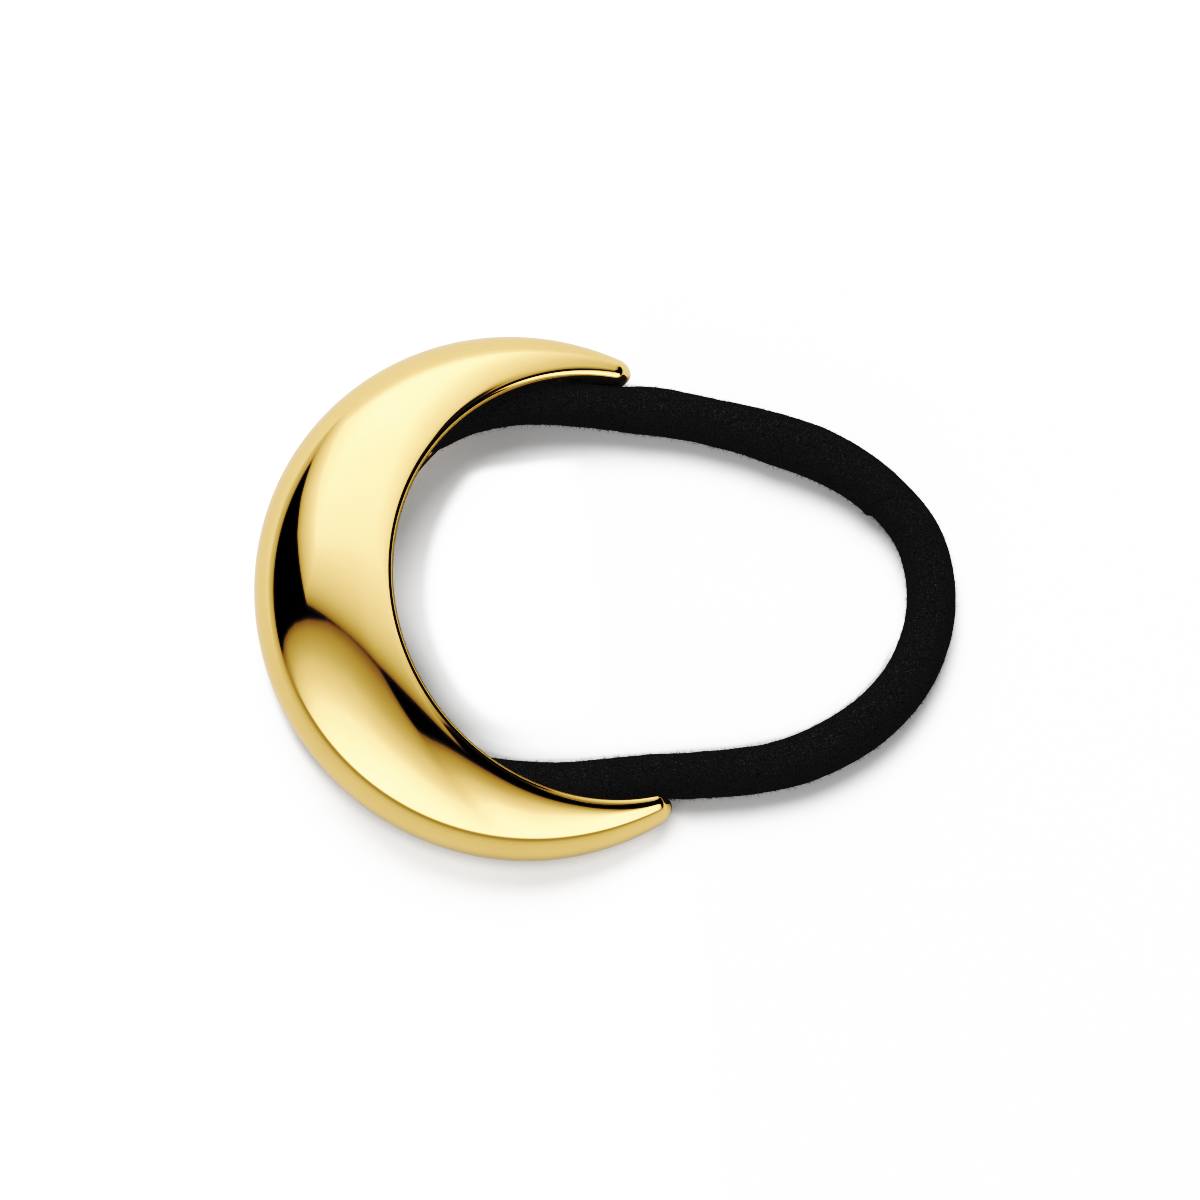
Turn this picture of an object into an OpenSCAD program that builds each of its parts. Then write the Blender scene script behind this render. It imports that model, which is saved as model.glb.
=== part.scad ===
// Crescent ponytail cuff: a domed metal shell, open towards the hair, on an endless knitted elastic.
// It lies on its side as on a table: +Z is up and the crescent opens towards +X.
// The shell is worked out in its own plane and then laid down on its lower edge.

/* [Crescent shell] */
// Outer radius of the crescent, seen along the ponytail
outer_r = 24; // [22:0.2:27]
// Radius of the rim that faces the hair
rim_r = 19.35; // [18.5:0.05:20]
// Depth of the crescent in its middle, from the rim to the outer face
mid_depth = 11.6; // [10.6:0.1:13]
// Width of the shell in its middle, measured along the ponytail
mid_width = 13.2; // [11.6:0.1:15]
// Width of the shell at its tips
tip_width = 4.9; // [4.4:0.1:5.6]
// Angle that each arm reaches from the middle, before its rounded end
arm_angle = 109.5; // [100:0.5:112]
// Length of the rounded end of each arm
tip_round = 1.4; // [1:0.1:2]
// Thickness of the metal behind the open side
wall = 1.2; // [0.9:0.05:1.4]
// Radius of the rounded edge in the middle of the rim
edge_mid_r = 0.55; // [0.4:0.05:0.7]
// Radius of the rounded edge at the tips
edge_tip_r = 1.1; // [0.9:0.05:1.2]
// Angle at which the open channel starts to close towards the solid tips
fade_angle = 88; // [80:1:92]
// Angle past which the arms are solid
solid_angle = 104; // [98:1:106]

/* [Keeper posts] */
// Diameter of the two posts that keep the elastic in the channel
post_d = 1.4; // [1:0.1:1.8]

/* [Elastic] */
// Thickness of the knitted elastic
elastic_d = 4.2; // [3.4:0.1:4.4]
// How far the loop stands out past the tips of the crescent
loop_reach = 28.7; // [20:0.1:60]

/* [Fit] */
// Gap between the elastic and the metal that it lies against
elastic_gap = 0.1; // [0.08:0.02:0.2]

/* [Hidden] */

gold = "#dfbf6a";
black = "#141416";

// Facets: sections along one arm and in one rounded end, steps round the outer face, round
// an edge and across the channel, rings from one row of the route to the next, elastic's sides
ARM_STEPS = 32;
END_STEPS = 6;
FACE_STEPS = 20;
EDGE_STEPS = 4;
CHANNEL_STEPS = 16;
ROUTE_STEPS = 5;
ELASTIC_SIDES = 12;

function mix(a, b, t) = a + (b - a) * t;
function ease(t) = let (s = max(0, min(1, t))) s * s * (3 - 2 * s);
function unit(v) = v / norm(v);

// Plan of the crescent: the outer circle is centred on the origin, the rim circle off_x further
// towards the opening, and the sections stand on rays from the point half-way between them
off_x = rim_r - (outer_r - mid_depth);
ray_x = off_x / 2;
elastic_r = elastic_d / 2;

// Distance along a ray to a circle of radius r whose centre is c past the ray point
function reach(angle, r, c) = sqrt(r * r - pow(c * sin(angle), 2)) - c * cos(angle);
function rim_at(angle) = reach(angle, rim_r, off_x - ray_x);
function face_at(angle) = reach(angle, outer_r, -ray_x);
function edge_r(angle) = mix(edge_mid_r, edge_tip_r, ease(abs(angle) / arm_angle));
function edge_x(angle) = ray_x - (rim_at(angle) + edge_r(angle)) * cos(angle);

// The lower edge lies in one plane, so the shell rests on all of it. The plane touches the
// rounded edge in the middle and at the tips, and lay_angle turns it level with the table.
mid_rise = (mid_width / 2 - edge_mid_r) - (tip_width / 2 - edge_tip_r);
mid_run = edge_x(arm_angle) - edge_x(0);
lay_angle = atan2(mid_rise, mid_run) - asin((edge_tip_r - edge_mid_r) / norm([mid_rise, mid_run]));
lay_height = (mid_width / 2 - edge_mid_r) * cos(lay_angle) + edge_x(0) * sin(lay_angle) + edge_mid_r;

// Half the width of a section, which makes its edge touch that plane too
function half_width(angle) =
    edge_r(angle) + (lay_height - edge_r(angle) - edge_x(angle) * sin(lay_angle)) / cos(lay_angle);

// How solid a section is: 0 where the channel is open, 1 where the arm is filled
function solid_share(angle) = ease((abs(angle) - fade_angle) / (solid_angle - fade_angle));

// The outline of one section as [reach, height] points: outer face from top to bottom,
// lower edge, channel, upper edge
function section(angle) =
    let (r = edge_r(angle))
    let (shoulder = rim_at(angle) + r)
    let (half = half_width(angle))
    let (face = face_at(angle) - shoulder)
    let (filled = solid_share(angle))
    let (channel = (face - wall) * (1 - filled))
    let (floor_at = shoulder - r * filled)
    let (inner_half = half - 2 * r)
    concat(
        [for (i = [0:FACE_STEPS])
            let (t = 90 - 180 * i / FACE_STEPS)
            [shoulder + face * cos(t), half * sin(t)]],
        [for (i = [1:2 * EDGE_STEPS - 1])
            let (t = 270 - 90 * i / EDGE_STEPS)
            let (back = i > EDGE_STEPS ? filled : 0)
            [shoulder - r * back + r * cos(t) * (1 - back), r * sin(t) - (half - r)]],
        [for (i = [0:CHANNEL_STEPS])
            let (t = 180 * i / CHANNEL_STEPS - 90)
            [floor_at + channel * cos(t), inner_half * sin(t)]],
        [for (i = [2 * EDGE_STEPS - 1:-1:1])
            let (t = 90 + 90 * i / EDGE_STEPS)
            let (back = i > EDGE_STEPS ? filled : 0)
            [shoulder - r * back + r * cos(t) * (1 - back), r * sin(t) + (half - r)]]);

// A ring of the shell: a section set on its ray, shrunk about its own middle in the rounded end
function shell_ring(angle, shrink) =
    let (middle = (rim_at(angle) + face_at(angle)) / 2)
    [for (p = section(angle))
        let (along = middle + (p[0] - middle) * shrink)
        [ray_x - along * cos(angle), along * sin(angle), p[1] * shrink]];

end_turn = tip_round / ((rim_at(arm_angle) + face_at(arm_angle)) / 2) * 180 / PI;
end_angle = arm_angle + end_turn;
end_rings = [for (i = [1:END_STEPS - 1]) [arm_angle + end_turn * sin(90 * i / END_STEPS), cos(90 * i / END_STEPS)]];
ring_rows = concat(
    [for (i = [len(end_rings) - 1:-1:0]) [-end_rings[i][0], end_rings[i][1]]],
    [for (i = [-ARM_STEPS:ARM_STEPS]) [arm_angle * i / ARM_STEPS, 1]],
    end_rings);

// A point of the crescent's own plane, laid down on the table
function lay(p) = [
    p[0] * cos(lay_angle) + p[2] * sin(lay_angle),
    p[1],
    p[2] * cos(lay_angle) - p[0] * sin(lay_angle) + lay_height];

function end_point(angle) =
    let (middle = (rim_at(angle) + face_at(angle)) / 2)
    [ray_x - middle * cos(angle), middle * sin(angle), 0];

// The sides of a skin over a run of rings of n points each, wound outwards
function skin_faces(rings, n) =
    [for (i = [0:rings - 2], j = [0:n - 1])
        let (a = i * n + j)
        let (b = i * n + (j + 1) % n)
        each [[a, b, b + n], [a, b + n, a + n]]];

shell_rings = [for (row = ring_rows) shell_ring(row[0], row[1])];
shell_points = [for (p = concat([for (ring = shell_rings) each ring], [end_point(-end_angle), end_point(end_angle)]))
    lay(p)];

// Places that the elastic is laid by: the bottom of the channel, and the inside of the tips
seat_x = -(outer_r - wall - elastic_gap - elastic_r);
tip_x = ray_x - rim_at(arm_angle) * cos(arm_angle);
tip_y = rim_at(arm_angle) * sin(arm_angle) - elastic_gap - elastic_r;

// Route of the elastic, once round. Along: -1 is the bottom of the channel, 0 the tips and 1
// the far end of the loop. Across: 1 lies against the inside of the upper tip, -1 the lower.
ALONG = 0;
ACROSS = 1;
ROUTE = [
    [-1.00, 0.00], [-0.95, 0.33], [-0.85, 0.62], [-0.70, 0.84], [-0.50, 1.00], [-0.28, 1.06],
    [-0.13, 1.03], [0.02, 0.99], [0.16, 0.96], [0.33, 0.88], [0.50, 0.79], [0.69, 0.63],
    [0.87, 0.40], [0.98, 0.12], [0.99, -0.24], [0.90, -0.57], [0.74, -0.81], [0.54, -0.97],
    [0.33, -1.03], [0.16, -1.03], [0.02, -1.00], [-0.13, -1.02], [-0.28, -1.04], [-0.50, -0.98],
    [-0.70, -0.84], [-0.85, -0.62], [-0.95, -0.33]];
POST_ROW = 2;

far_x = tip_x + (loop_reach - elastic_r) / cos(lay_angle);
route_xy = [for (row = ROUTE)
    [row[ALONG] < 0 ? mix(tip_x, seat_x, -row[ALONG]) : mix(tip_x, far_x, row[ALONG]), row[ACROSS] * tip_y]];

// Height of the elastic's middle: half-way up the channel, and on the table past the tips
rise_blend = 0.3 * elastic_r;
function route_height(x) =
    let (above = lay([x, 0, 0])[2] - elastic_r)
    elastic_r + (above + norm([above, rise_blend])) / 2;

// A smooth closed curve through the route's points
function curve(a, b, c, d, t) =
    b + (c - a) * t / 2 + (2 * a - 5 * b + 4 * c - d) * t * t / 2 + (3 * b - a - 3 * c + d) * t * t * t / 2;
route_count = len(ROUTE);
function route_at(i, t) =
    curve(route_xy[(i + route_count - 1) % route_count], route_xy[i],
        route_xy[(i + 1) % route_count], route_xy[(i + 2) % route_count], t);
centre_line = [for (i = [0:route_count - 1], k = [0:ROUTE_STEPS - 1])
    let (p = route_at(i, k / ROUTE_STEPS))
    [lay([p[0], p[1], 0])[0], p[1], route_height(p[0])]];

// A round ring of the elastic, square to the line through its neighbours
ring_count = len(centre_line);
function elastic_ring(i) =
    let (ahead = unit(centre_line[(i + 1) % ring_count] - centre_line[(i + ring_count - 1) % ring_count]))
    let (side = unit(cross([0, 0, 1], ahead)))
    let (up = cross(ahead, side))
    [for (j = [0:ELASTIC_SIDES - 1])
        let (t = 360 * j / ELASTIC_SIDES)
        centre_line[i] + elastic_r * (cos(t) * side + sin(t) * up)];
elastic_points = [for (i = [0:ring_count - 1]) each elastic_ring(i)];
elastic_faces = [for (i = [0:ring_count - 1], j = [0:ELASTIC_SIDES - 1])
    let (n = ELASTIC_SIDES)
    let (next = (i + 1) % ring_count)
    let (a = i * n + j)
    let (b = i * n + (j + 1) % n)
    let (c = next * n + (j + 1) % n)
    let (d = next * n + j)
    each [[a, c, b], [a, d, c]]];

// The origin is under the middle of the whole cuff
left_x = min([for (p = shell_points) p[0]]);
right_x = max([for (p = elastic_points) p[0]]);
middle_x = (left_x + right_x) / 2;

module crescent_body() {
    rings = len(shell_rings);
    n = len(shell_rings[0]);
    first_cap = [for (j = [0:n - 1]) [rings * n, (j + 1) % n, j]];
    last_cap = [for (j = [0:n - 1]) [rings * n + 1, (rings - 1) * n + j, (rings - 1) * n + (j + 1) % n]];
    polyhedron(shell_points, concat(first_cap, skin_faces(rings, n), last_cap));
}

// A post stands across the channel on the hair's side of the elastic, beside a row of its route,
// and its ends are let half-way into both walls
post_from = unit(route_xy[POST_ROW + 1] - route_xy[POST_ROW - 1]);
post_xy = route_xy[POST_ROW] + (elastic_r + elastic_gap + post_d / 2) * [post_from[1], -post_from[0]];
post_angle = atan2(post_xy[1], ray_x - post_xy[0]);
post_in = norm([post_xy[0] - ray_x, post_xy[1]]) - rim_at(post_angle) - edge_r(post_angle);
post_face = face_at(post_angle) - rim_at(post_angle) - edge_r(post_angle);
function dome(half, depth) = half * sqrt(1 - pow(post_in / depth, 2));
post_half = (dome(half_width(post_angle), post_face)
    + dome(half_width(post_angle) - 2 * edge_r(post_angle), post_face - wall)) / 2;

module keeper_post() {
    translate([0, 0, lay_height])
        rotate([0, lay_angle, 0])
            translate([post_xy[0], post_xy[1], -post_half])
                cylinder(d = post_d, h = 2 * post_half, $fn = 32);
}

module crescent_shell() {
    color(gold)
        translate([-middle_x, 0, 0])
            union() {
                crescent_body();
                keeper_post();
                mirror([0, 1, 0]) keeper_post();
            }
}

module elastic_band() {
    color(black)
        translate([-middle_x, 0, 0])
            polyhedron(elastic_points, elastic_faces);
}

crescent_shell();
elastic_band();
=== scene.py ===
import math
import random

import bmesh
import bpy
from mathutils import Matrix, Vector, noise


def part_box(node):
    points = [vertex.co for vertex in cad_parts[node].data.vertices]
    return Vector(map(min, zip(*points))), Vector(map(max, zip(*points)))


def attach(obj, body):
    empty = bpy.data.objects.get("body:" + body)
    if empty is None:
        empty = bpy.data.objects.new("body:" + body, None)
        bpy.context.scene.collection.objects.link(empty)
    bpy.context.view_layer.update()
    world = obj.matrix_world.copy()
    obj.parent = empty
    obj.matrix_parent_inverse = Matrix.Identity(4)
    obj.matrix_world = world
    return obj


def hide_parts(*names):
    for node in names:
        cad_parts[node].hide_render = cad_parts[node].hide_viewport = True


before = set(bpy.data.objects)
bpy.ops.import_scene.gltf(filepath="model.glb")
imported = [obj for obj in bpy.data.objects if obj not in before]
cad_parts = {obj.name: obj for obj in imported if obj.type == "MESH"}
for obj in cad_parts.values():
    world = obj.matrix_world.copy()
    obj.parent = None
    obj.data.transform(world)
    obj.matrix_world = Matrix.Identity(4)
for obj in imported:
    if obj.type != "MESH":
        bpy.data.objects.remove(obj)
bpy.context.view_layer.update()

mm = 0.001
tau = 2 * math.pi


def mix(a, b, t):
    return a + (b - a) * t


def ease(t):
    t = min(1.0, max(0.0, t))
    return t * t * (3 - 2 * t)


def sin(a):  # of degrees
    return math.sin(math.radians(a))


def cos(a):  # of degrees
    return math.cos(math.radians(a))


def follow(stops, x):
    # straight lines through (place, value) stops
    for (a, low), (b, high) in zip(stops, stops[1:]):
        if x <= b:
            return mix(low, high, max(0.0, (x - a) / (b - a)))
    return stops[-1][1]


def meshFrom(bm, name, material, smooth=True):
    mesh = bpy.data.meshes.new(name)
    bm.to_mesh(mesh)
    bm.free()
    mesh.materials.append(material)
    mesh.polygons.foreach_set("use_smooth", [smooth] * len(mesh.polygons))
    piece = bpy.data.objects.new(name, mesh)
    bpy.context.scene.collection.objects.link(piece)
    return piece


class Nodes:
    # short way to write a node tree: add a node, set its values, join its inputs
    def __init__(self, tree):
        self.tree = tree
        tree.nodes.clear()

    def add(self, kind, settings=(), **inputs):
        node = self.tree.nodes.new(kind)
        for key, value in dict(settings).items():
            setattr(node, key, value)
        for key, value in inputs.items():
            numbered = key[0] == "i" and key[1:].isdigit()
            socket = node.inputs[int(key[1:])] if numbered else node.inputs[key.replace("_", " ")]
            if isinstance(value, bpy.types.NodeSocket):
                self.tree.links.new(value, socket)
            else:
                socket.default_value = value
        return node

    def math(self, operation, a, b=0.0, c=0.0):
        return self.add("ShaderNodeMath", dict(operation=operation), i0=a, i1=b, i2=c).outputs[0]

    def noise(self, coords, scale, detail=2.0, roughness=0.5):
        return self.add("ShaderNodeTexNoise", (), Vector=coords, Scale=scale, Detail=detail,
                        Roughness=roughness).outputs[0]

    def span(self, value, fromLow, fromHigh, toLow=0.0, toHigh=1.0, kind="LINEAR"):
        return self.add("ShaderNodeMapRange", dict(interpolation_type=kind), i0=value,
                        i1=fromLow, i2=fromHigh, i3=toLow, i4=toHigh).outputs[0]

    def ramp(self, factor, stops):
        node = self.add("ShaderNodeValToRGB", (), i0=factor)
        elements = node.color_ramp.elements
        while len(elements) < len(stops):
            elements.new(0.5)
        for element, (place, colour) in zip(elements, stops):
            element.position = place
            element.color = colour if isinstance(colour, tuple) else (colour, colour, colour, 1)
        return node.outputs[0]

    def curve(self, value, stops):
        # straight lines through (place, value) stops, as a ramp over their range
        places = [a for a, _ in stops]
        levels = [b for _, b in stops]
        low, high = min(levels), max(levels)
        share = self.span(value, places[0], places[-1])
        ramp = self.ramp(share, [((a - places[0]) / (places[-1] - places[0]), (b - low) / (high - low))
                                 for a, b in stops])
        return self.span(ramp, 0, 1, low, high)

    def done(self, shader, kind="ShaderNodeOutputMaterial"):
        self.add(kind, (), Surface=shader.outputs[0])


def newMaterial(name):
    material = bpy.data.materials.new(name)
    material.use_nodes = True
    return material, Nodes(material.node_tree)


# mm and degrees, but clip in metres; the cuff's middle is at across and up in the photograph's square
camera = dict(distance=950.0, lean=11.96, turn=5.24, across=0.274, up=0.009, viewWidth=108.0, sensor=36.0,
              clip=(0.01, 50.0))


def photoPoint(x, y):
    # a point of the photograph's own square, turned into the cuff's frame
    turn = Matrix.Rotation(math.radians(-camera["turn"]), 4, "Z")
    return turn @ Vector((x - camera["across"], y - camera["up"], 0)) * mm


def addCamera():
    away = camera["distance"]
    lens = bpy.data.cameras.new("photoCamera")
    lens.sensor_width = camera["sensor"]
    lens.lens = camera["sensor"] * away / camera["viewWidth"]
    lens.clip_start, lens.clip_end = camera["clip"]
    eye = bpy.data.objects.new("photoCamera", lens)
    bpy.context.scene.collection.objects.link(eye)
    place = photoPoint(0, -away * sin(camera["lean"]))
    place.z = away * cos(camera["lean"]) * mm
    target = photoPoint(0, 0)
    back = (place - target).normalized()
    right = (photoPoint(1, 0) - target).normalized()
    turn = Matrix((right, back.cross(right), back)).transposed().to_4x4()
    eye.matrix_world = Matrix.Translation(place) @ turn
    bpy.context.scene.camera = eye


addCamera()
print("camera placed")

shell = dict(outerR=24.0, rimR=19.35, midDepth=11.6, midWidth=13.2, tipWidth=4.9, armAngle=109.5,
             tipRound=1.4, wall=1.2, edgeMidR=0.55, edgeTipR=0.68, lowerTipR=0.52, fadeAngle=88.0,
             solidAngle=104.0, postD=1.4, postSides=32, armSteps=110, endSteps=12, faceSteps=60, edgeSteps=9,
             channelSteps=28)
# drift moves the far end outwards in mm and spread widens it by a share, both from one driftX to the other
elastic = dict(thickness=4.2, loopReach=28.7, gap=0.1, riseBlend=0.3, postRow=2, driftX=(24.0, 32.0),
               drift=0.27, spread=0.015)

# route of the elastic: along is -1 at the bottom of the channel, 0 at the tips and 1 at the far end, and
# across is 1 at the inside of the upper tip and -1 at that of the lower one
along, across = 0, 1
route = [
    (-1.00, 0.00), (-0.95, 0.33), (-0.85, 0.62), (-0.70, 0.84), (-0.50, 1.00), (-0.28, 1.06),
    (-0.13, 1.03), (0.02, 0.99), (0.16, 0.96), (0.33, 0.88), (0.50, 0.79), (0.69, 0.63),
    (0.87, 0.40), (0.98, 0.12), (0.99, -0.24), (0.90, -0.57), (0.74, -0.81), (0.54, -0.97),
    (0.33, -1.03), (0.16, -1.03), (0.02, -1.00), (-0.13, -1.02), (-0.28, -1.04), (-0.50, -0.98),
    (-0.70, -0.84), (-0.85, -0.62), (-0.95, -0.33)]

# the rim's circle has its centre at offX and the face's at 0, and the sections lie on rays from rayX
offX = shell["rimR"] - (shell["outerR"] - shell["midDepth"])
rayX = offX / 2
elasticR = elastic["thickness"] / 2


def reach(angle, radius, centre):
    # length of a ray from rayX to the circle round rayX + centre, 0 degrees being towards the shell's middle
    return math.sqrt(radius ** 2 - (centre * sin(angle)) ** 2) - centre * cos(angle)


def rimAt(angle):
    return reach(angle, shell["rimR"], offX - rayX)


def faceAt(angle):
    return reach(angle, shell["outerR"], -rayX)


def edgeR(angle):
    tipR = shell["edgeTipR"] if angle > 0 else shell["lowerTipR"]
    return mix(shell["edgeMidR"], tipR, ease(abs(angle) / shell["armAngle"]))


def edgeX(angle):
    return rayX - (rimAt(angle) + edgeR(angle)) * cos(angle)


# the cuff lies on its middle and its tips, so it leans by layAngle
midRise = (shell["midWidth"] / 2 - shell["edgeMidR"]) - (shell["tipWidth"] / 2 - shell["edgeTipR"])
midRun = edgeX(shell["armAngle"]) - edgeX(0)
layAngle = math.degrees(math.atan2(midRise, midRun)
                        - math.asin((shell["edgeTipR"] - shell["edgeMidR"]) / math.hypot(midRise, midRun)))
layHeight = ((shell["midWidth"] / 2 - shell["edgeMidR"]) * cos(layAngle) + edgeX(0) * sin(layAngle)
             + shell["edgeMidR"])


def halfWidth(angle):
    r = edgeR(angle)
    return r + (layHeight - r - edgeX(angle) * sin(layAngle)) / cos(layAngle)


def section(angle):
    # outline of one section: outer face, lower edge, channel, upper edge
    r = edgeR(angle)
    shoulder = rimAt(angle) + r
    half = halfWidth(angle)
    face = faceAt(angle) - shoulder
    filled = ease((abs(angle) - shell["fadeAngle"]) / (shell["solidAngle"] - shell["fadeAngle"]))
    channel = (face - shell["wall"]) * (1 - filled)
    bottom = shoulder - r * filled
    innerHalf = half - 2 * r
    steps = shell["edgeSteps"]

    def edge(t, inner, side):
        back = filled if inner else 0
        return shoulder - r * back + r * cos(t) * (1 - back), r * sin(t) + side * (half - r)

    faceTurns = [90 - 180 * i / shell["faceSteps"] for i in range(shell["faceSteps"] + 1)]
    channelTurns = [180 * i / shell["channelSteps"] - 90 for i in range(shell["channelSteps"] + 1)]
    points = [(shoulder + face * cos(t), half * sin(t)) for t in faceTurns]
    points += [edge(270 - 90 * i / steps, i > steps, -1) for i in range(1, 2 * steps)]
    points += [(bottom + channel * cos(t), innerHalf * sin(t)) for t in channelTurns]
    points += [edge(90 + 90 * i / steps, i > steps, 1) for i in range(2 * steps - 1, 0, -1)]
    return points


def lay(x, y, z):
    # a point of the level cuff, leant and lifted as it lies on the table
    return Vector((x * cos(layAngle) + z * sin(layAngle), y,
                   z * cos(layAngle) - x * sin(layAngle) + layHeight))


def shellRing(angle, shrink):
    middle = (rimAt(angle) + faceAt(angle)) / 2
    ring = []
    for out, high in section(angle):
        out = middle + (out - middle) * shrink
        ring.append(lay(rayX - out * cos(angle), out * sin(angle), high * shrink))
    return ring


seatX = -(shell["outerR"] - shell["wall"] - elastic["gap"] - elasticR)
tipX = rayX - rimAt(shell["armAngle"]) * cos(shell["armAngle"])
tipY = rimAt(shell["armAngle"]) * sin(shell["armAngle"]) - elastic["gap"] - elasticR
farX = tipX + (elastic["loopReach"] - elasticR) / cos(layAngle)
routeXy = [Vector((mix(tipX, seatX, -row[along]) if row[along] < 0 else mix(tipX, farX, row[along]),
                   row[across] * tipY)) for row in route]


def wrapGrid(bm, rings, around, place, weld=1e-5):
    # a grid bent into place: x runs along the rings and y round them, and the seams are welded
    bm.loops.layers.uv.new("UVMap")
    bmesh.ops.create_grid(bm, x_segments=rings, y_segments=around, size=0.5, calc_uvs=True)
    for vert in bm.verts:
        vert.co = place(round((vert.co.x + 0.5) * rings), round((vert.co.y + 0.5) * around))
    bmesh.ops.remove_doubles(bm, verts=bm.verts, dist=weld)


def addPosts(bm):
    # two keeper posts across the channel, on the hair's side of the elastic
    row = elastic["postRow"]
    near, far = routeXy[row - 1], routeXy[row]
    side = (far - near).normalized()
    beside = elasticR + elastic["gap"] + shell["postD"] / 2
    spot = near.lerp(far, 0.5) + beside * Vector((side.y, -side.x))
    angle = math.degrees(math.atan2(spot.y, rayX - spot.x))
    inside = math.hypot(spot.x - rayX, spot.y) - rimAt(angle) - edgeR(angle)
    face = faceAt(angle) - rimAt(angle) - edgeR(angle)
    outer = halfWidth(angle) * math.sqrt(1 - (inside / face) ** 2)
    inner = (halfWidth(angle) - 2 * edgeR(angle)) * math.sqrt(1 - (inside / (face - shell["wall"])) ** 2)
    upright = Matrix.Translation((0, 0, layHeight)) @ Matrix.Rotation(math.radians(layAngle), 4, "Y")
    for sign in (1, -1):
        bmesh.ops.create_cone(bm, cap_ends=True, segments=shell["postSides"], radius1=shell["postD"] / 2,
                              radius2=shell["postD"] / 2, depth=outer + inner,
                              matrix=upright @ Matrix.Translation((spot.x, sign * spot.y, 0)))


def finishMesh(bm, shift, name, material):
    bmesh.ops.recalc_face_normals(bm, faces=bm.faces)
    bmesh.ops.translate(bm, verts=bm.verts, vec=(shift, 0, 0))
    bmesh.ops.scale(bm, verts=bm.verts, vec=(mm, mm, mm))
    return meshFrom(bm, name, material)


def buildShell(material):
    bm = bmesh.new()
    arm = shell["armAngle"]
    endTurn = math.degrees(shell["tipRound"] / ((rimAt(arm) + faceAt(arm)) / 2))
    turns = [90 * i / shell["endSteps"] for i in range(1, shell["endSteps"] + 1)]
    ends = [(arm + endTurn * sin(t), cos(t) if t < 90 else 0) for t in turns]
    rows = [(-a, s) for a, s in reversed(ends)]
    rows += [(arm * i / shell["armSteps"], 1) for i in range(-shell["armSteps"], shell["armSteps"] + 1)]
    rings = [shellRing(a, s) for a, s in rows + ends]
    wrapGrid(bm, len(rings) - 1, len(rings[0]), lambda i, j: rings[i][j % len(rings[0])])
    # the part's origin is under the middle of the whole cuff, so the pieces are set by the CAD node's box
    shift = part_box("crescent_shell")[0].x / mm - min(vert.co.x for vert in bm.verts)
    addPosts(bm)
    return finishMesh(bm, shift, "crescent_body", material), shift


# the gold's two near tones, and a roughness that hardly varies; scales are those of their noises, per metre
polish = dict(toneScale=140.0, tones=[(0.35, (0.955, 0.705, 0.375, 1)), (0.65, (0.985, 0.73, 0.39, 1))],
              roughScale=2600.0, roughDetail=(3.0, 0.6), roughNoise=(0.3, 0.7), roughness=(0.035, 0.06))


def goldMaterial():
    material, n = newMaterial("polished_gold")
    coords = n.add("ShaderNodeTexCoord").outputs["Object"]
    colour = n.ramp(n.noise(coords, polish["toneScale"]), polish["tones"])
    grain = n.noise(coords, polish["roughScale"], *polish["roughDetail"])
    rough = n.span(grain, *polish["roughNoise"], *polish["roughness"])
    n.done(n.add("ShaderNodeBsdfPrincipled", (), Base_Color=colour, Metallic=1.0, Roughness=rough))
    return material


crescent, shiftX = buildShell(goldMaterial())
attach(crescent, "root")
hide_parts("crescent_shell")
print("crescent shell:", len(crescent.data.polygons), "faces")

# in mm: jointFrom is the way round to the bonded joint, and a swell the radius added by the distance
# before it. A tuck is the radius added on a strand's side towards the opening, and an outer that on its
# other side, by x.
swellPast = [(-40, 0.05), (-34, 0.08), (-26, 0.16), (-20, 0.14), (-13, 0.11), (-6, 0.06), (-3, 0.01)]
swellBefore = [(8, 0.28), (11, 0.29), (13, 0.22), (15, 0.14), (20, 0.06)]
knit = dict(
    rings=1200, sides=44, jointFrom=66.3, jointSkew=0.1, lip=0.14, lipLength=0.4, lipFocus=4, freeOver=3.0,
    uneven=0.02, unevenSize=0.8,
    swellInner=swellPast + [(-0.3, -0.04), (0, 0.12), (0.3, 0.27), (3, 0.2), (5, 0.22)] + swellBefore,
    swellOuter=swellPast + [(0, 0.02), (3, 0.12), (5, 0.2)] + swellBefore,
    tuckUpper=[(-12, 0), (-9, 0.3), (-6, 0.35), (-4.9, 0.2), (-3, -0.02), (-1, -0.12), (3.3, -0.12),
               (5.1, -0.27), (8.7, -0.3), (10.5, -0.22), (12.3, -0.05), (15.5, -0.02), (17.8, -0.17),
               (19.6, -0.1), (24, 0.06), (27, 0)],
    outerUpper=[(10, 0), (12, 0.07), (14, 0.05), (16, 0), (20, -0.06), (23, -0.15), (25, -0.12), (28, 0)],
    tuckLower=[(-9, 0), (-6, 0.15), (-3, 0.18), (2.3, 0.19), (4.2, 0.07), (6, -0.08), (9.6, -0.28),
               (11.4, -0.26), (13.2, -0.04), (15, 0.15), (18.6, 0.14), (20.4, 0)],
    outerLower=[(11.5, 0), (13, -0.12), (14.6, -0.26), (16.4, -0.3), (18.2, -0.22), (20, -0.15), (24, 0)])


def routeHeight(x):
    above = lay(x, 0, 0).z - elasticR
    return elasticR + (above + math.hypot(above, elastic["riseBlend"] * elasticR)) / 2


def routePoint(place):
    # place runs from 0 to the number of rows, once round the loop
    i = int(place)
    t = place - i
    a, b, c, d = (routeXy[(i + k) % len(routeXy)] for k in (-1, 0, 1, 2))
    p = b + (c - a) * t / 2 + (2 * a - 5 * b + 4 * c - d) * t * t / 2 + (3 * b - a - 3 * c + d) * t ** 3 / 2
    start, full = elastic["driftX"]
    far = ease((p.x - start) / (full - start))
    return Vector((lay(p.x, 0, 0).x + elastic["drift"] * far, p.y * (1 + elastic["spread"] * far),
                   routeHeight(p.x)))


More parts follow.
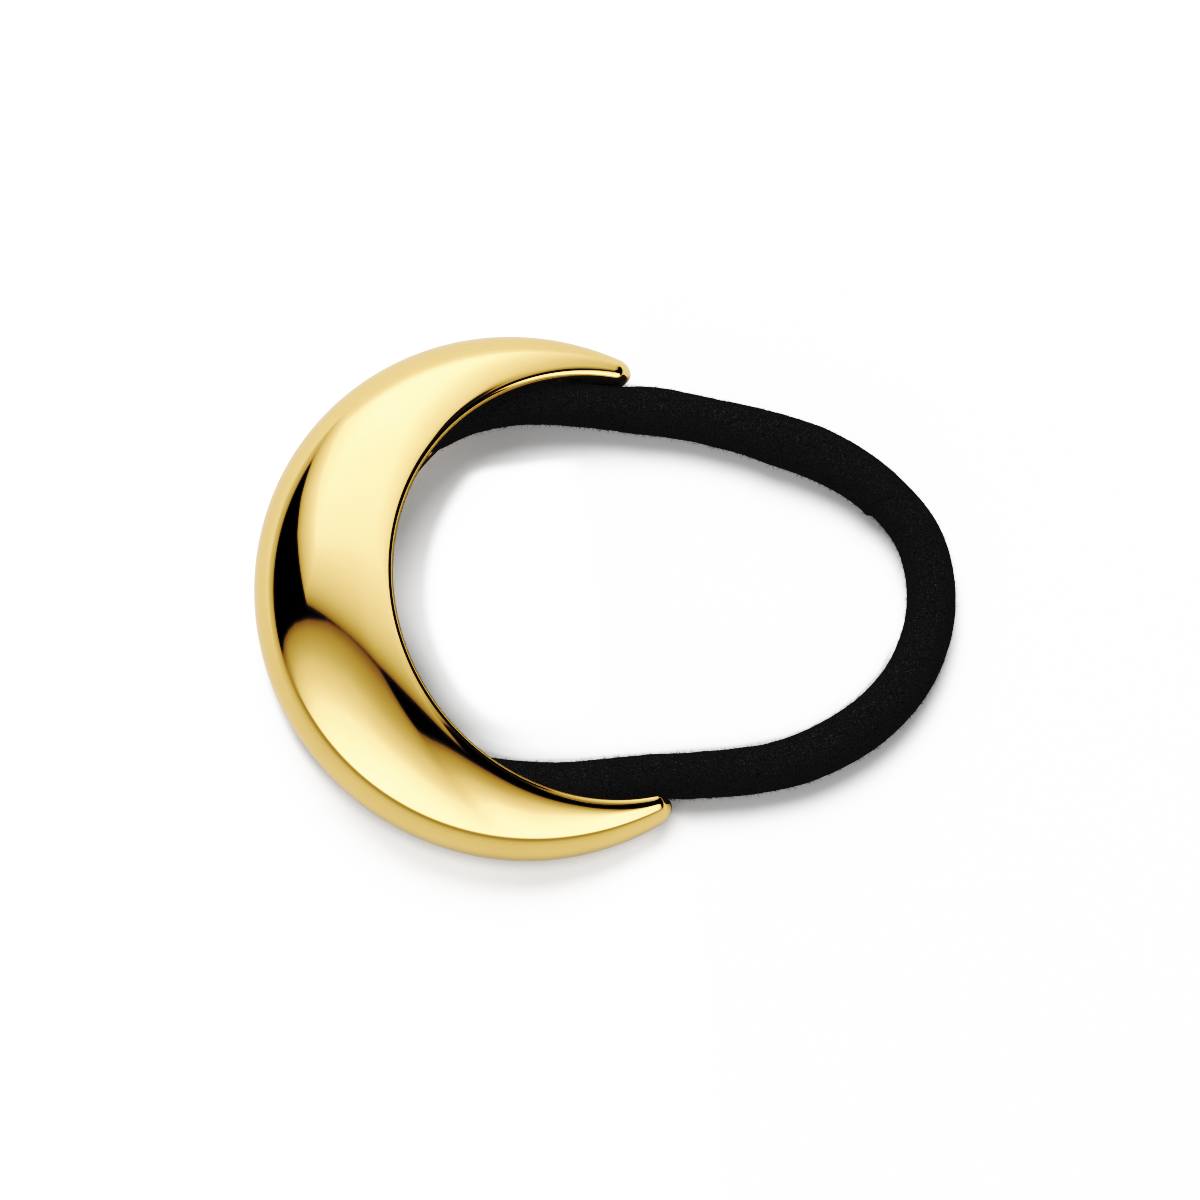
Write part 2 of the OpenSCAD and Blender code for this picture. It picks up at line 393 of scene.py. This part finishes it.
def elasticFrames():
    # centre, the way ahead, outward side, up, and the length gone, for each ring
    count = knit["rings"]
    centres = [routePoint(len(routeXy) * i / count) for i in range(count)]
    frames, gone = [], 0.0
    for i in range(count):
        ahead = (centres[(i + 1) % count] - centres[i - 1]).normalized()
        side = Vector((0, 0, 1)).cross(ahead).normalized()
        frames.append((centres[i], ahead, side, ahead.cross(side), gone))
        gone += (centres[(i + 1) % count] - centres[i]).length
    return frames, gone


def elasticPoint(place, t):
    # a point of the knitted surface, and the way out of it
    centre, _, side, up, gone = place
    way = math.cos(t) * side + math.sin(t) * up
    before = knit["jointFrom"] + knit["jointSkew"] * elasticR * math.cos(t) - gone
    extra = mix(follow(knit["swellOuter"], before), follow(knit["swellInner"], before),
                (1 - math.cos(t)) / 2)
    if before > 0:
        extra += (knit["lip"] * math.exp(-(before / knit["lipLength"]) ** 2)
                  * max(0.0, -math.cos(t)) ** knit["lipFocus"])
    free = ease((centre.x - tipX) / knit["freeOver"])
    extra = extra * free + knit["uneven"] * noise.noise((centre + elasticR * way) / knit["unevenSize"])
    lift = max(0.0, extra)  # a thicker stretch still lies on the table
    flank = ("outer" if math.cos(t) > 0 else "tuck") + ("Upper" if centre.y > 0 else "Lower")
    extra += follow(knit[flank], centre.x) * abs(math.cos(t))
    return centre + (elasticR + extra) * way + Vector((0, 0, lift)), way


def buildElastic(material):
    bm = bmesh.new()
    sides = knit["sides"]
    wrapGrid(bm, len(frames), sides,
             lambda i, j: elasticPoint(frames[i % len(frames)], tau * (j % sides) / sides)[0])
    return finishMesh(bm, shiftX, "knitted_elastic", material)


# the knit's look: scales of its noises per metre, pitch of its ribs in mm, and how much each counts in the
# tone; the glow is painted light, an emission in the knit's own tone that lifts its shaded side
weave = dict(grainScale=7000.0, grain=0.8, ribPitch=0.16, rib=0.14, wanderScale=1500.0, wander=5.0,
             cloudScale=250.0, cloud=0.06, paintedGlow=1.1, bump=0.35, bumpDepth=0.04, roughness=0.95, specular=0.1,
             tones=[(0.39, (0.001, 0.001, 0.001, 1)), (0.63, (0.038, 0.038, 0.04, 1))])


def knitMaterial():
    material, n = newMaterial("black_knit")
    places = n.add("ShaderNodeTexCoord").outputs
    coords = places["Object"]
    roundLoop = n.add("ShaderNodeSeparateXYZ", (), i0=places["UV"]).outputs[0]
    wander = n.math("MULTIPLY", n.noise(coords, weave["wanderScale"]), weave["wander"])
    phase = n.math("MULTIPLY_ADD", roundLoop, tau * loopLength / weave["ribPitch"], wander)
    rib = n.span(n.math("SINE", phase), -1, 1)
    cloud = n.math("MULTIPLY", n.noise(coords, weave["cloudScale"]), weave["cloud"])
    grain = n.math("MULTIPLY", n.noise(coords, weave["grainScale"], 1.0), weave["grain"])
    tone = n.math("ADD", grain, n.math("MULTIPLY_ADD", rib, weave["rib"], cloud))
    colour = n.ramp(tone, weave["tones"])
    bump = n.add("ShaderNodeBump", (), Height=tone, Strength=weave["bump"],
                 Distance=weave["bumpDepth"] * mm)
    # the emission is painted light that lifts the knit's shaded side
    n.done(n.add("ShaderNodeBsdfPrincipled", (), Base_Color=colour, Roughness=weave["roughness"],
                 Specular_IOR_Level=weave["specular"], Emission_Color=colour,
                 Emission_Strength=weave["paintedGlow"], Normal=bump.outputs[0]))
    return material


frames, loopLength = elasticFrames()
knitBlack = knitMaterial()
band = buildElastic(knitBlack)
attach(band, "root")
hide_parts("elastic_band")
print("elastic:", len(band.data.polygons), "faces, loop of %.1f mm" % loopLength)

# short fibres of the knit, in mm; lean is the angle from straight out, in degrees
nap = dict(name="elastic_fuzz", batches=150, tries=120, length=(0.18, 0.5), radius=(0.008, 0.012),
           lean=(35, 80), buried=0.03)
lint = dict(name="elastic_lint", batches=8, tries=120, length=(0.12, 0.4), radius=(0.014, 0.024),
            lean=(84, 89), buried=0.0, toneScale=600.0, roughness=0.9, specular=0.2,
            tones=[(0.35, (0.06, 0.06, 0.062, 1)), (0.65, (0.2, 0.2, 0.21, 1))])
# inward is how squarely a fibre between the arms has to face the opening, from 0 to 1
fibreClear = dict(channelX=-15.0, tipSpare=0.6, inward=0.5, floor=0.05)


def fibreShows(centre, way, end):
    # fibres are left off deep in the channel, close to the table and, between the arms, towards the shell
    if centre.x < fibreClear["channelX"] or end.z < fibreClear["floor"]:
        return False
    if centre.x > tipX + fibreClear["tipSpare"]:
        return True
    return way.y * math.copysign(1, -centre.y) > fibreClear["inward"]


def addFibre(bm, kind, pick):
    place = pick.choice(frames)
    point, way = elasticPoint(place, pick.uniform(0, tau))
    turn = Matrix.Rotation(pick.uniform(0, tau), 3, way)
    lean = math.radians(pick.uniform(*kind["lean"]))
    aim = math.cos(lean) * way + math.sin(lean) * (turn @ place[1])
    length, radius = pick.uniform(*kind["length"]), pick.uniform(*kind["radius"])
    if not fibreShows(place[0], way, point + length * aim):
        return
    middle = point + (length / 2 - kind["buried"]) * aim
    tilt = aim.to_track_quat("Z", "Y").to_matrix().to_4x4()
    bmesh.ops.create_cone(bm, cap_ends=True, segments=3, radius1=radius, radius2=radius / 2, depth=length,
                          matrix=Matrix.Translation(middle) @ tilt)


def buildFibres(kind, material):
    # made in small batches, since a big mesh makes each new fibre slow
    bm = bmesh.new()
    pick = random.Random(kind["name"])
    batch = bpy.data.meshes.new(kind["name"])
    for _ in range(kind["batches"]):
        few = bmesh.new()
        for _ in range(kind["tries"]):
            addFibre(few, kind, pick)
        few.to_mesh(batch)
        few.free()
        bm.from_mesh(batch)
    bpy.data.meshes.remove(batch)
    return finishMesh(bm, shiftX, kind["name"], material)


def lintMaterial():
    material, n = newMaterial("pale_lint")
    coords = n.add("ShaderNodeTexCoord").outputs["Object"]
    colour = n.ramp(n.noise(coords, lint["toneScale"]), lint["tones"])
    n.done(n.add("ShaderNodeBsdfPrincipled", (), Base_Color=colour, Roughness=lint["roughness"],
                 Specular_IOR_Level=lint["specular"]))
    return material


for kind, material in ((nap, knitBlack), (lint, lintMaterial())):
    fibres = buildFibres(kind, material)
    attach(fibres, "root")
    print(kind["name"] + ":", len(fibres.data.polygons), "faces")

# the table: size in metres, the rest in mm. Fill lightens it all evenly, inner adds painted light beside the
# metal, and bounce is painted light for the gold's own light, outside the crescent's circle (ring) and left
# of bounceX. The metal sees a dimmer copy (reflected) and, outside the circle, a painted glow, from -glowY
# to glowY.
floor = dict(size=8.0, seen=0.53, fill=0.11, ring=(22.5, 24.5), bounce=0.32, bounceX=(1.0, 7.0), inner=0.09,
             innerX=(-16.0, -6.0), reflected=(0.14, 0.13), paintedGlow=(0.39, 0.53), glowY=45.0)
# painted shade of the crescent on the table inside it, at its lower left: share of light taken, by the
# distance from centre. The shade fades out over right and high, and to lowShare over low.
paintedInnerShade = dict(share=0.75, centre=(-0.5, 2.0), reach=(14.2, 19.0), right=(-12.0, 0.0), high=(-6.0, 4.0),
           low=(-16.0, -10.0), lowShare=0.2)
# within that shade the table is lit evenly by painted light: light added, by the distance from centre. It
# fades out over right, low and high.
paintedClearing = dict(light=0.65, centre=(0.7, 1.2), reach=(15.2, 17.1), right=(-4.0, 0.0), low=(-12.0, -7.0),
                high=(12.15, 13.7))
# painted shade on the table close to the lower strand: the strand's upper edge as (x, y), the share taken by
# the distance from it, and where this starts and ends in x
paintedContactShade = dict(edge=[(-12.5, -12.8), (-10.2, -13.8), (-8.2, -14.3), (-3.9, -14.6), (10.9, -14.75),
                     (15.1, -14.3), (17.3, -13.7), (19.5, -12.7), (21.8, -11.3), (24.1, -9.2), (26.6, -5)],
               fade=[(-1.5, 0), (-1.2, 0.45), (0, 0.45), (0.3, 0.37), (0.4, 0.26), (0.6, 0.17), (1, 0.1),
                     (1.5, 0)],
               start=(-13.0, -12.0), end=(24.5, 26.8))


def floorMaterial():
    material, n = newMaterial("paper_floor")
    coords = n.add("ShaderNodeTexCoord").outputs["Object"]
    x, y, _ = n.add("ShaderNodeSeparateXYZ", (), i0=coords).outputs

    def distance(middle):
        return n.math("SQRT", n.math("ADD", n.math("POWER", n.math("SUBTRACT", x, middle[0] * mm), 2.0),
                                     n.math("POWER", n.math("SUBTRACT", y, middle[1] * mm), 2.0)))

    def fade(value, limits, first=0, last=1, kind="SMOOTHSTEP"):
        start, end = limits
        return n.span(value, start * mm, end * mm, first, last, kind=kind)

    def product(first, *others):
        for other in others:
            first = n.math("MULTIPLY", first, other)
        return first

    def remaining(share):
        return n.math("SUBTRACT", 1.0, share)

    outside = fade(distance((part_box("crescent_shell")[0].x / mm + shell["outerR"], 0)), floor["ring"])
    # painted light on the table: an even fill, more beside the metal, and the gold's bounce outside its
    # circle
    inner = n.math("MULTIPLY_ADD", fade(x, floor["innerX"], 1, 0), floor["inner"], floor["fill"])
    bounced = product(outside, fade(x, floor["bounceX"], 1, 0))
    light = n.math("MULTIPLY_ADD", bounced, floor["bounce"], inner)
    # painted light that evens the table within the painted shade
    clear = product(fade(distance(paintedClearing["centre"]), paintedClearing["reach"], paintedClearing["light"], 0),
                    fade(x, paintedClearing["right"], 1, 0), fade(y, paintedClearing["low"]),
                    fade(y, paintedClearing["high"], 1, 0))
    light = n.math("ADD", light, clear)
    # painted shade of the crescent on the table, inside it at its lower left
    shade = product(fade(distance(paintedInnerShade["centre"]), paintedInnerShade["reach"], 0, paintedInnerShade["share"], "LINEAR"),
                    fade(x, paintedInnerShade["right"], 1, 0), fade(y, paintedInnerShade["high"], 1, 0),
                    fade(y, paintedInnerShade["low"], paintedInnerShade["lowShare"], 1))
    # painted shade on the table along the lower strand
    strandEdge = n.curve(n.math("DIVIDE", x, mm), paintedContactShade["edge"])
    fromStrand = n.math("SUBTRACT", n.math("DIVIDE", y, mm), strandEdge)
    close = product(n.curve(fromStrand, paintedContactShade["fade"]), fade(x, paintedContactShade["start"]),
                    fade(x, paintedContactShade["end"], 1, 0))
    kept = product(remaining(product(shade, remaining(outside))), remaining(close))

    # the table as the camera sees it, with painted light and shade, and a dimmer painted copy as the gold
    # mirrors it
    paper = n.add("ShaderNodeBsdfDiffuse", (), Color=n.math("MULTIPLY", kept, floor["seen"]))
    lit = n.add("ShaderNodeEmission", (), Strength=n.math("MULTIPLY", kept, light))
    toCamera = n.add("ShaderNodeAddShader", (), i0=paper.outputs[0], i1=lit.outputs[0])
    # a dimmer copy of the table with a painted glow outside the circle, seen only in the gold's reflections
    dim = n.add("ShaderNodeBsdfDiffuse", (), Color=n.span(outside, 0, 1, *floor["reflected"]))
    paintedGlowShare = product(fade(y, (-floor["glowY"], floor["glowY"]), *floor["paintedGlow"], "LINEAR"), outside)
    paintedGlow = n.add("ShaderNodeEmission", (), Strength=paintedGlowShare)
    toMetal = n.add("ShaderNodeAddShader", (), i0=dim.outputs[0], i1=paintedGlow.outputs[0])
    ray = n.add("ShaderNodeLightPath").outputs["Is Camera Ray"]
    n.done(n.add("ShaderNodeMixShader", (), i0=ray, i1=toMetal.outputs[0], i2=toCamera.outputs[0]))
    return material


def addFloor():
    bm = bmesh.new()
    bmesh.ops.create_grid(bm, x_segments=1, y_segments=1, size=floor["size"] / 2)
    meshFrom(bm, "studio_floor", floorMaterial(), smooth=False)


# two soft boxes in a dark studio, in degrees from the zenith: x east, y north in the photograph's square.
# An edge gives a box's border, a rise the light against the distance inside it, and an end the most light
# by the angle from the zenith. The notch is a thin dark slit in the north box. southRise counts that
# distance in shares of the way from southEdge to southFull, and low is the light near the horizon.
sky = dict(
    northEdge=[(-60, 11.4), (-36, 8), (-20, 5.8), (0, 3), (6, 1.9), (14, 1.4), (60, 1.5)],
    northRise=[(-0.7, 0), (0, 0.33), (1, 0.44), (2, 0.52), (3.5, 0.64), (5, 0.73), (7, 0.84), (12, 1.05),
               (17, 1.3), (37, 1.5), (45, 1.6)],
    northLeft=[(0, -30), (8, -36), (28, -47), (42, -51.7), (60, -54.5), (80, -54)],
    leftRise=[(0, 0), (0.8, 0.4), (1.8, 0.55), (5.4, 0.72), (10.6, 0.9), (14.6, 1.05), (17.4, 1.3),
              (29, 1.5), (36, 1.6)],
    northRight=[(0, 27.6), (5, 28), (9, 33), (11, 40), (22, 40.5), (24, 42), (28, 44), (50, 45), (90, 55)],
    notchTop=[(26, -30), (30, 0), (31.5, 24), (34, 24), (36, 21.5), (38, 17), (39, 11), (40, 2)],
    notchRise=[(0, 0), (0.8, 0.42), (2, 0.6), (5, 0.8), (8, 1.05), (14, 1.6)], notchBottom=10.0,
    eastRise=[(0, 0), (0.8, 0.42), (5, 0.7), (10, 0.82), (15, 0.95), (20, 1.06), (26, 1.2), (36, 1.5),
              (45, 1.6)],
    northEnd=[(69, 1.6), (75.6, 1.3), (78.6, 1.05), (88, 0.9)],
    southEdge=[(-85, -14), (-79, -9), (-70, -3.6), (-60, 0), (-50, 2.6), (-36, 4.6), (-20, 5.4), (-8, 4.6),
               (0, 3.3), (5, 2.2), (7, 0.8), (9, -1.7), (12, -6.5), (16, -5.5), (20, -3.7), (30, 0.5),
               (34, 1.6), (38, 3.4), (40, 1), (42, -3), (46, -9), (60, -9)],
    southFull=[(-85, -80), (-75, -60), (-70, -40), (-67, -28), (-60, -22), (-50, -17), (-40, -14.4),
               (-26, -13.6), (-14, -15.4), (-4, -21), (4, -28), (10, -31), (15, -24), (20, -20.5),
               (28, -20), (38, -12), (60, -12)],
    southRise=[(0, 0), (0.02, 0.18), (0.05, 0.3), (0.19, 0.44), (0.44, 0.58), (0.69, 0.77), (1.0, 0.93),
               (1.23, 1.1), (1.45, 1.3), (2.2, 1.5), (3.0, 1.6)],
    southRight=[(-90, 78), (-56, 70), (-20, 61), (-5, 56), (5, 50), (20, 44)],
    rightRise=[(0, 0), (0.6, 0.4), (3, 0.9), (5, 1.05), (7, 1.3), (15, 1.5), (20, 1.6)],
    southEnd=[(73, 1.6), (76, 0.4), (88, 0.5)],
    low=[(78, 0), (79, 0.3), (80, 0.4), (82, 0.55), (86, 0.65), (91, 0.75)])


def addSky():
    world = bpy.data.worlds.new("soft_boxes")
    bpy.context.scene.world = world
    world.use_nodes = True
    n = Nodes(world.node_tree)
    direction = n.add("ShaderNodeTexCoord").outputs["Generated"]
    turned = n.add("ShaderNodeVectorRotate", dict(rotation_type="Z_AXIS"), Vector=direction,
                   Angle=math.radians(camera["turn"])).outputs[0]
    dx, dy, dz = n.add("ShaderNodeSeparateXYZ", (), i0=turned).outputs
    zenith = n.math("MULTIPLY", n.math("ARCCOSINE", dz), 180 / math.pi)
    flat = n.math("SQRT", n.math("MAXIMUM", n.math("SUBTRACT", 1.0, n.math("MULTIPLY", dz, dz)), 1e-6))
    spread = n.math("DIVIDE", zenith, flat)
    x = n.math("MULTIPLY", dx, spread)
    y = n.math("MULTIPLY", dy, spread)

    def least(parts):
        total = parts[0]
        for part in parts[1:]:
            total = n.math("MINIMUM", total, part)
        return total

    def curve(value, name):
        return n.curve(value, sky[name])

    north = least([curve(n.math("SUBTRACT", y, curve(x, "northEdge")), "northRise"),
                   curve(n.math("SUBTRACT", x, curve(y, "northLeft")), "leftRise"),
                   curve(n.math("SUBTRACT", curve(y, "northRight"), x), "eastRise"),
                   n.math("MAXIMUM", curve(n.math("SUBTRACT", y, curve(x, "notchTop")), "notchRise"),
                          curve(n.math("SUBTRACT", sky["notchBottom"], y), "notchRise")),
                   curve(zenith, "northEnd")])
    edge = curve(x, "southEdge")
    depth = n.math("DIVIDE", n.math("SUBTRACT", edge, y), n.math("SUBTRACT", edge, curve(x, "southFull")))
    south = least([curve(depth, "southRise"),
                   curve(n.math("SUBTRACT", curve(y, "southRight"), x), "rightRise"),
                   curve(zenith, "southEnd")])
    total = n.math("MAXIMUM", n.math("MAXIMUM", north, south), curve(zenith, "low"))
    n.done(n.add("ShaderNodeBackground", (), Color=(1, 1, 1, 1), Strength=total), "ShaderNodeOutputWorld")


# the key light: lengths in metres, angles in degrees
keyLight = dict(size=2.0, strength=150.0, distance=2.4, fromZenith=35.0, azimuth=94.0)


def addKey():
    lamp = bpy.data.lights.new("key_light", "AREA")
    lamp.shape = "DISK"
    lamp.size = keyLight["size"]
    lamp.energy = keyLight["strength"]
    light = bpy.data.objects.new("key_light", lamp)
    bpy.context.scene.collection.objects.link(light)
    down, azimuth = keyLight["fromZenith"], keyLight["azimuth"]
    toward = Vector((sin(down) * cos(azimuth), sin(down) * sin(azimuth), cos(down)))
    light.location = toward * keyLight["distance"]
    light.rotation_euler = toward.to_track_quat("Z", "Y").to_euler()
    light.visible_glossy = False


# the photograph's tone: deep blacks and a soft shoulder, as (light, shown) up to the light that shows white
tone = [(0, 0), (0.02, 0.0032), (0.06, 0.0056), (0.1, 0.0084), (0.17, 0.03), (0.22, 0.09), (0.33, 0.266),
        (0.425, 0.407), (0.575, 0.576), (0.78, 0.761), (1.05, 0.922), (1.2, 0.965), (1.6, 1)]


def setTone():
    settings = bpy.context.scene.view_settings
    settings.view_transform = "Standard"
    settings.look = "None"
    settings.use_curve_mapping = True
    curves = settings.curve_mapping
    white = tone[-1][0]
    curves.white_level = (white, white, white)
    curve = curves.curves[3]
    while len(curve.points) < len(tone):
        curve.points.new(0.5, 0.5)
    for point, (light, shown) in zip(curve.points, tone):
        point.location = (light / white, shown)
        point.handle_type = "AUTO_CLAMPED"
    curves.update()


addFloor()
addSky()
addKey()
setTone()
print("studio ready")
